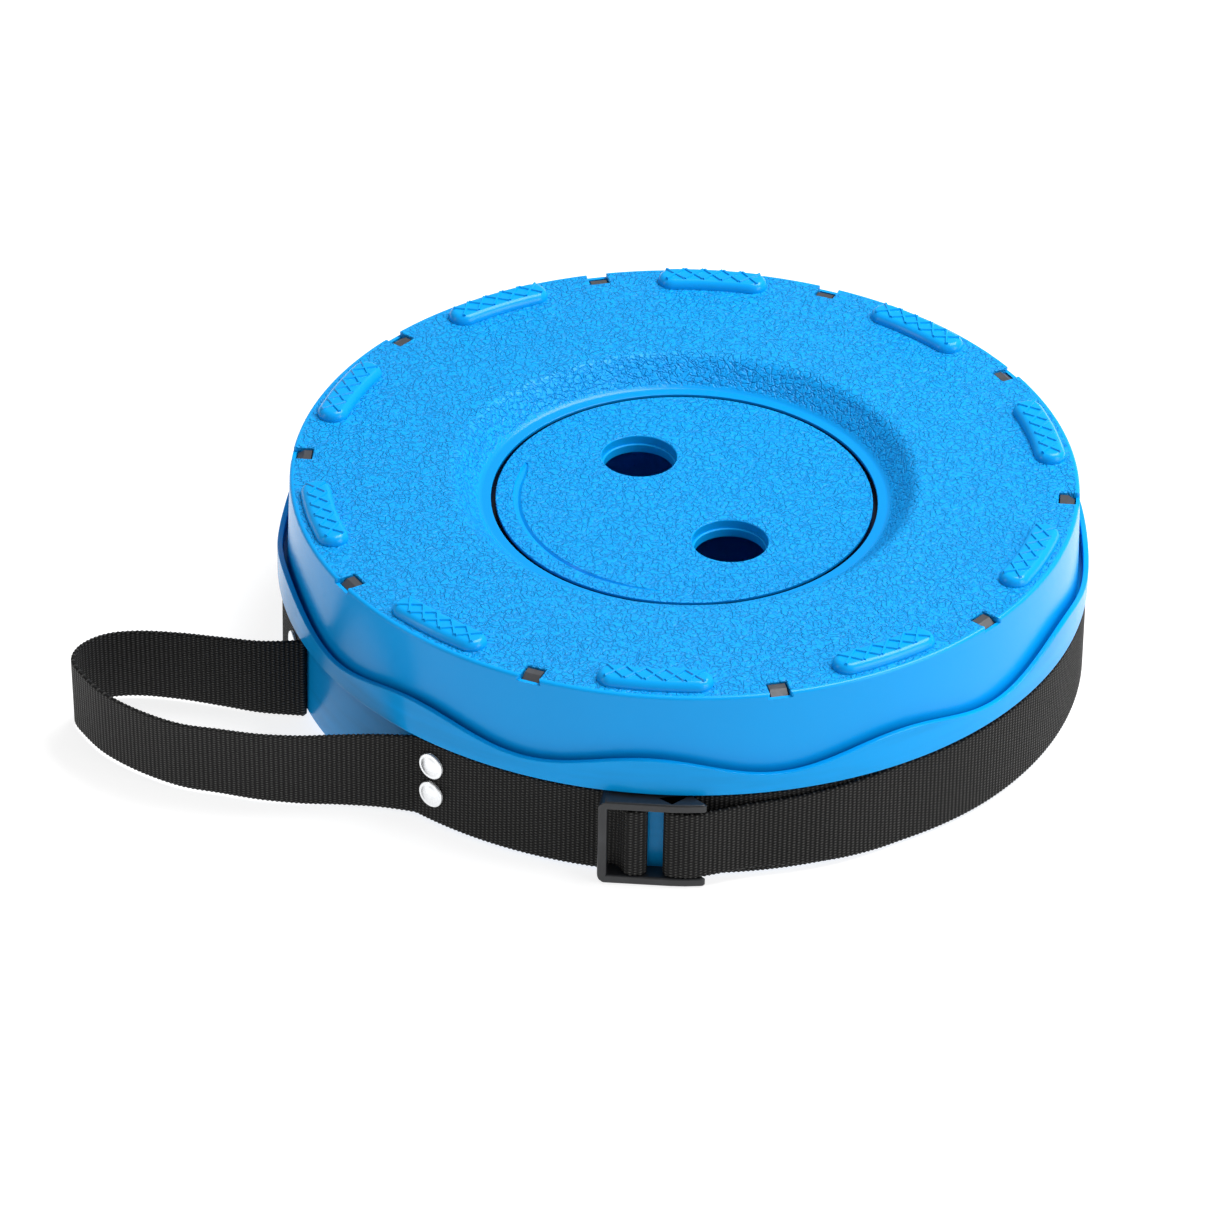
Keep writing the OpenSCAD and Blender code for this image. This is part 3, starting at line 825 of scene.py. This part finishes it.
def on_cup(radius, start, end, step=1.0):
    """Points on a circle about the stool's axis."""
    count = max(2, int(abs(end - start) / step))
    return [polar(radius, start + (end - start) * k / count) for k in range(count + 1)]


def by_buckle(x, y):
    """A point given from the buckle's middle: x outwards from the axis, y along the strap."""
    c, s = polar(1, BUCKLE_DIR)
    return (c * x - s * y, s * x + c * y)


def round_bar(bar_y, side, steps=24):
    """The way round a buckle bar, from its front to its back. Side is -1 round its left."""
    front = BAR_X + BAR_T + WEB_GAP + STRAP_T / 2
    middle = (front + WEB_R) / 2
    half = (front - WEB_R) / 2
    square = 2 / 2.6
    way = []
    for k in range(steps + 1):
        a = pi * k / steps
        out = np.sign(cos(a)) * abs(cos(a)) ** square
        way.append(by_buckle(middle + half * out, bar_y - side * 0.4 + side * half * sin(a) ** square))
    return way


def even_steps(way, step):
    """The same way with its points at even distances."""
    p = np.array(way, float)
    run = np.concatenate([[0], np.cumsum(np.linalg.norm(np.diff(p, axis=0), axis=1))])
    keep = np.concatenate([[True], np.diff(run) > 1e-6])
    p, run = p[keep], run[keep]
    s = np.linspace(0, run[-1], int(run[-1] / step) + 1)
    return s, np.stack([np.interp(s, run, p[:, 0]), np.interp(s, run, p[:, 1])], 1)


def make_webbing(name, way, width, nodes, lean=0.0):
    """Sweeps the webbing's section along a way. Its width may be a function of the
    distance along it. Lean is how far its edges tip over, upper one to the front, halfway
    along. Scalloped edges and low ribs follow the weave."""
    s, p = even_steps(way, WEB_STEP)
    ahead = np.gradient(p, axis=0)
    ahead /= np.linalg.norm(ahead, axis=1)[:, None]
    out = np.stack([ahead[:, 1], -ahead[:, 0]], 1)
    wide = np.array([width(v, s[-1]) if callable(width) else width for v in s])
    tip = lean * np.abs(np.sin(pi * s / s[-1])) ** 0.7
    wave = np.cos(2 * pi * s / RIB_PITCH)
    half_w = wide / 2 - 0.16 + 0.16 * wave
    round_w = 0.8
    across = [sin(radians(a)) for a in (0, 22, 45, 67)]
    thick = [cos(radians(a)) for a in (0, 22, 45, 67)]
    inner_points = 13
    section = [(k / (inner_points - 1) * 2 - 1, 0.0, 1.0) for k in range(inner_points)]
    section += [(1.0, a, h) for a, h in zip(across[1:], thick[1:])] + [(1.0, 1.0, 0.0)]
    section += [(1.0, a, -h) for a, h in list(zip(across[1:], thick[1:]))[::-1]]
    section += [(1 - k / (inner_points - 1) * 2, 0.0, -1.0) for k in range(inner_points)]
    section += [(-1.0, -a, -h) for a, h in zip(across[1:], thick[1:])] + [(-1.0, -1.0, 0.0)]
    section += [(-1.0, -a, h) for a, h in list(zip(across[1:], thick[1:]))[::-1]]
    rows, cols = len(s), len(section)
    points = np.zeros((rows, cols, 3))
    marks = np.zeros((rows, cols, 3))
    for j, (flat, edge, rise) in enumerate(section):
        v = flat * (half_w - round_w) + edge * round_w
        rib = RIB_RISE * wave * np.sign(rise)
        off = rise * STRAP_T / 2 + rib * (abs(edge) < 0.9) - RIB_RISE * np.sign(rise)
        points[:, j, 0] = p[:, 0] + off * out[:, 0]
        points[:, j, 1] = p[:, 1] + off * out[:, 1] - tip * v / (STRAP_W / 2)
        points[:, j, 2] = STRAP_MID + v
        marks[:, j, 0] = s
        marks[:, j, 1] = v
        marks[:, j, 2] = 5.0 * np.sign(rise)
    faces = grid_faces(rows, cols, False, True)
    faces += [list(range(cols)), list(range((rows - 1) * cols, rows * cols))]
    mesh = bpy.data.meshes.new(name)
    mesh.from_pydata((points.reshape(-1, 3) * MM).tolist(), [], faces)
    weave = mesh.attributes.new("weave", "FLOAT_VECTOR", "POINT")
    weave.data.foreach_set("vector", marks.reshape(-1).astype(np.float32))
    piece = bpy.data.objects.new(name, mesh)
    bpy.context.scene.collection.objects.link(piece)
    work = bmesh.new()
    work.from_mesh(mesh)
    bmesh.ops.recalc_face_normals(work, faces=work.faces)
    work.to_mesh(mesh)
    work.free()
    return finished(name, piece, WEBBING, "base", nodes, sharp=60)


def eased(t):
    t = min(1.0, max(0.0, t))
    return t * t * (3 - 2 * t)


def make_strap():
    """One length of webbing in three pieces: past the rivets to the buckle, from the
    buckle round the cup to the handle's fold, and the handle."""
    front = on_cup(WEB_R, HANDLE_FRONT, BUCKLE_DIR - 6.6) + [
        by_buckle(BAR_X - 0.6, -10.2), by_buckle(BAR_X + BAR_T + 0.7, -7.4)]
    fold = round_bar(MID_BAR_Y, 1)
    end = [by_buckle(WEB_R + 0.1, MID_BAR_Y - 3.0)]
    arc_part, rest = front[:-2], front[-4:] + fold[:1]
    way = arc_part[:-1] + smooth_way(rest, 12)[12:] + fold[1:] + end

    def front_width(v, length):
        return NECK_W + (STRAP_W - NECK_W) * eased((length - v - 21) / 4)

    make_webbing("webbing_front", way, front_width, ["strap_front"])

    tail = [polar(WEB_R + 0.15, BUCKLE_DIR + 37), polar(WEB_R + 0.8, BUCKLE_DIR + 32),
            polar(WEB_R + STRAP_T, BUCKLE_DIR + 26), polar(WEB_R + STRAP_T, BUCKLE_DIR + 20),
            polar(WEB_R + STRAP_T + 0.1, BUCKLE_DIR + 14), by_buckle(WEB_R + STRAP_T + 1.4, 19.5),
            by_buckle(BAR_X + BAR_T + 0.8, 12.5)]
    fold = round_bar(RIGHT_BAR_Y, -1)
    round_cup = []
    for bearing in range(int(BUCKLE_DIR) + 5, int(HANDLE_BACK) + 361):
        loose = eased((bearing - 295) / 25) * eased((420 - bearing) / 40)
        round_cup.append(polar(WEB_R + BELT_SLACK * loose, bearing))
    way = smooth_way(tail + fold[:1], 14) + fold[1:] + round_cup

    def belt_width(v, length):
        tail_length = 84
        if v < tail_length:
            return NECK_W + (STRAP_W - NECK_W) * eased((tail_length - 24 - v) / 58)
        return NECK_W + (STRAP_W - NECK_W) * eased((v - tail_length - 5) / 4)

    make_webbing("webbing_belt", way, belt_width, ["strap_belt"])

    out = Vector(polar(1, HANDLE_BACK))
    ahead = Vector((-out.y, out.x))
    fold_r = (STRAP_T + WEB_GAP) / 2
    centre = (WEB_R + fold_r) * out
    turn = [centre - fold_r * cos(radians(a)) * out + fold_r * sin(radians(a)) * ahead
            for a in range(0, 111, 10)]
    foot = Vector(polar(WEB_R + 2 * fold_r, HANDLE_BACK))
    knots = [tuple(turn[-1])] + [tuple(foot + Vector(w)) for w in HANDLE_WAY] + [polar(WEB_R, HANDLE_FRONT)]
    way = [tuple(t) for t in turn[:-1]] + smooth_way(knots, 16)
    make_webbing("webbing_handle", way, STRAP_W, ["strap_handle"], HANDLE_LEAN)


def make_buckle():
    """A three-bar slide: two deep cheeks joined by a front bar and two inner bars."""
    half = BUCKLE_L / 2
    low = STRAP_MID - BUCKLE_H / 2
    high = STRAP_MID + BUCKLE_H / 2
    cheek = (
        arc(BUCKLE_OUT - 2.0, -half + 2.0, 2.0, -90, 0, 6)
        + [(BUCKLE_OUT, 6.0), (BUCKLE_OUT - 0.25, 10.5), (BUCKLE_OUT - 0.9, half - 1.6)]
        + arc(BUCKLE_OUT - 1.9, half - 1.0, 0.8, 20, 90, 3)
        + [(BUCKLE_IN + 2.2, half - 3.6)]
        + arc(BUCKLE_IN + 0.8, half - 5.4, 0.8, 90, 180, 3)
        + arc(BUCKLE_IN + 0.8, -half + 1.8, 0.8, 180, 250, 3)
    )
    piece = plain_object("buckle", soft_prism(cheek, high - CHEEK_T, high, 0.7))
    combine(piece, soft_prism(cheek, low, low + CHEEK_T, 0.7), "UNION")
    bars = [(BUCKLE_OUT - BAR_T, BUCKLE_OUT, -half, -half + BAR_W, 0.9)]
    for y in (MID_BAR_Y, RIGHT_BAR_Y):
        bars.append((BAR_X, BAR_X + BAR_T, y - BAR_W / 2, y + BAR_W / 2, 1.0))
    for x1, x2, y1, y2, corner in bars:
        combine(piece, soft_prism(rounded_box(x1, x2, y1, y2, corner), low + 0.9, high - 0.9, 0.3), "UNION")
    front_view = rounded_box(-half, half + 1.2, low, high, 3.4, 8)
    corners = loft([[(x, y, z) for y, z in front_view] for x in (BUCKLE_IN - 1, BUCKLE_OUT + 1)])
    combine(piece, corners, "INTERSECT")
    turn = Matrix.Rotation(radians(BUCKLE_DIR), 4, "Z")
    piece.data.transform(turn)
    return finished("slide_buckle", piece, BUCKLE_BLACK, "base", ["strap_buckle"], sharp=40)


def make_rivets(name, bearing, node):
    """Two rivets: a low domed head with a rolled rim, a shank and a clenched end."""
    face = WEB_R + STRAP_T / 2 + 0.05
    inside = CUP_IN - 0.05
    clenched = inside - CLENCH_T
    profile = (
        [(0.0, clenched), (2 * SHANK_R - 0.3, clenched), (2 * SHANK_R, clenched + 0.3),
         (2 * SHANK_R, inside), (SHANK_R, inside), (SHANK_R, face), (RIVET_R - 0.15, face)]
        + arc(RIVET_R - 0.45, face + 0.45, 0.45, -60, 90, 8)
        + [(RIVET_R - 0.75, face + 0.84), (RIVET_R - 1.0, face + 0.86)]
        + [(r, face + RIVET_H - 0.74 * (r / (RIVET_R - 1.0)) ** 2) for r in (3.2, 2.7, 2.1, 1.5, 0.9, 0.4)]
        + [(0.0, face + RIVET_H)]
    )
    points, faces = revolved(profile, 72)
    lying = np.stack([points[:, 2], points[:, 1], -points[:, 0]], axis=1)
    pair = []
    for side in (-1, 1):
        moved = lying + np.array([0.0, 0.0, RIVET_Z + side * RIVET_STEP / 2])
        pair.append((turned(moved, bearing), faces))
    piece = plain_object(name, joined(pair))
    return finished(name, piece, NICKEL, "base", [node])


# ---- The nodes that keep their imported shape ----

def dress_node(node, material):
    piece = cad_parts[node]
    for place in piece.material_slots:
        place.material = material


# ---- Stage, lights and camera ----

def make_floor():
    size = 8.0
    corners = [(-size, -size, 0), (size, -size, 0), (size, size, 0), (-size, size, 0)]
    mesh = bpy.data.meshes.new("floor")
    mesh.from_pydata(corners, [], [(0, 1, 2, 3)])
    floor = bpy.data.objects.new("floor", mesh)
    bpy.context.scene.collection.objects.link(floor)
    material, _, shader = new_material("floor_white")
    shader.inputs["Base Color"].default_value = (0.35, 0.35, 0.35, 1)
    shader.inputs["Roughness"].default_value = 0.9
    shader.inputs["Emission Color"].default_value = (1, 1, 1, 1)
    shader.inputs["Emission Strength"].default_value = 0.82
    mesh.materials.append(material)


def softbox(name, place, aim, width, height, power):
    data = bpy.data.lights.new(name, "AREA")
    data.shape = "RECTANGLE"
    data.size = width
    data.size_y = height
    data.energy = power
    lamp = bpy.data.objects.new(name, data)
    lamp.location = place
    lamp.rotation_euler = (Vector(aim) - Vector(place)).to_track_quat("-Z", "Y").to_euler()
    bpy.context.scene.collection.objects.link(lamp)


def make_lights():
    world = bpy.data.worlds.new("studio")
    world.use_nodes = True
    world.node_tree.nodes["Background"].inputs["Color"].default_value = (1, 1, 1, 1)
    world.node_tree.nodes["Background"].inputs["Strength"].default_value = 0.3
    bpy.context.scene.world = world
    softbox("key", (0.7, 0.3, 1.6), (0, 0, 0.05), 1.1, 1.1, 42)
    softbox("right", (1.5, -0.9, 0.7), (0, 0, 0.04), 0.9, 0.9, 12)
    softbox("left", (-1.3, -0.35, 0.45), (0, 0, 0.04), 0.08, 0.6, 1.5)


def make_camera():
    """A long lens from the front, about 33 degrees above the floor."""
    distance = 2.6472
    rise = radians(32.8357)
    centre = Vector((0, 0, TOP_Z * MM))
    stand = distance * Vector((0, -cos(rise), sin(rise)))
    ahead = -stand.normalized()
    right = Vector((1, 0, 0))
    up = right.cross(ahead)
    pan = Matrix.Rotation(radians(0.5285), 3, up)
    ahead, right = pan @ ahead, pan @ right
    tilt = Matrix.Rotation(radians(-0.8980), 3, right)
    ahead, up = tilt @ ahead, tilt @ up
    roll = Matrix.Rotation(radians(-1.3752), 3, ahead)
    right, up = roll @ right, roll @ up
    data = bpy.data.cameras.new("camera")
    data.sensor_width = 36
    data.lens = 249.19
    data.clip_end = 20
    camera = bpy.data.objects.new("camera", data)
    turn = Matrix((right, up, -ahead)).transposed()
    camera.matrix_world = Matrix.Translation(centre + stand) @ turn.to_4x4()
    bpy.context.scene.collection.objects.link(camera)
    bpy.context.scene.camera = camera


make_camera()
make_floor()
make_lights()
make_seat()
make_lid()
make_backing_plate()
make_cup()
make_strap()
make_buckle()
make_rivets("rivets_by_buckle", RIVET_FRONT, "rivets_front")
make_rivets("rivets_by_fold", RIVET_BACK, "rivets_back")
dress_node("foot_pads", FOOT_RUBBER)
dress_node("seat_ring", HOOK_BLACK)
dress_node("base_tube", TUBE_BLUE)
for number in range(1, 11):
    dress_node(f"telescopic_ring_{number:02d}", RING_BLACK)
bpy.context.scene.view_settings.view_transform = "Standard"
